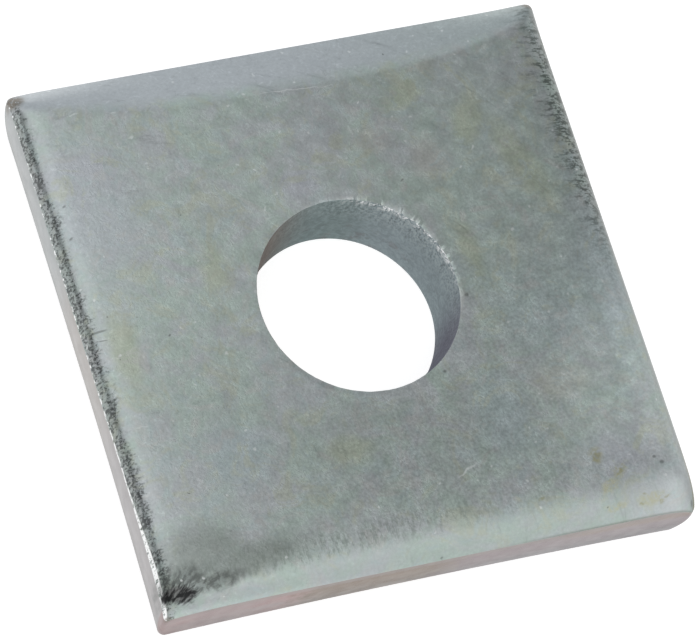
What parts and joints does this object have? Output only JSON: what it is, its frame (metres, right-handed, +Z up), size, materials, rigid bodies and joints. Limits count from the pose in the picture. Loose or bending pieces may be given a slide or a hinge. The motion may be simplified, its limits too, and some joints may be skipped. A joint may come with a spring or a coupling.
{
  "type": "square plate washer",
  "caption": "Thick square steel plate washer with a central bolt hole, rolled upper edges and a zinc finish, for spreading a bolt's load over a slot or channel.",
  "frame": {"origin": "centre of the lower face, on the bolt hole's axis", "axes": "+Z up through the bolt hole, from the lower face to the upper face with the rolled edges; X and Y across the sides"},
  "size_m": [0.04, 0.04, 0.006],
  "materials": {
    "zinc_plated_steel": "bright zinc plating with a faint rainbow tint, finely pitted, satin"
  },
  "bodies": {
    "root": {"plate_washer": "zinc_plated_steel"}
  },
  "joints": []
}
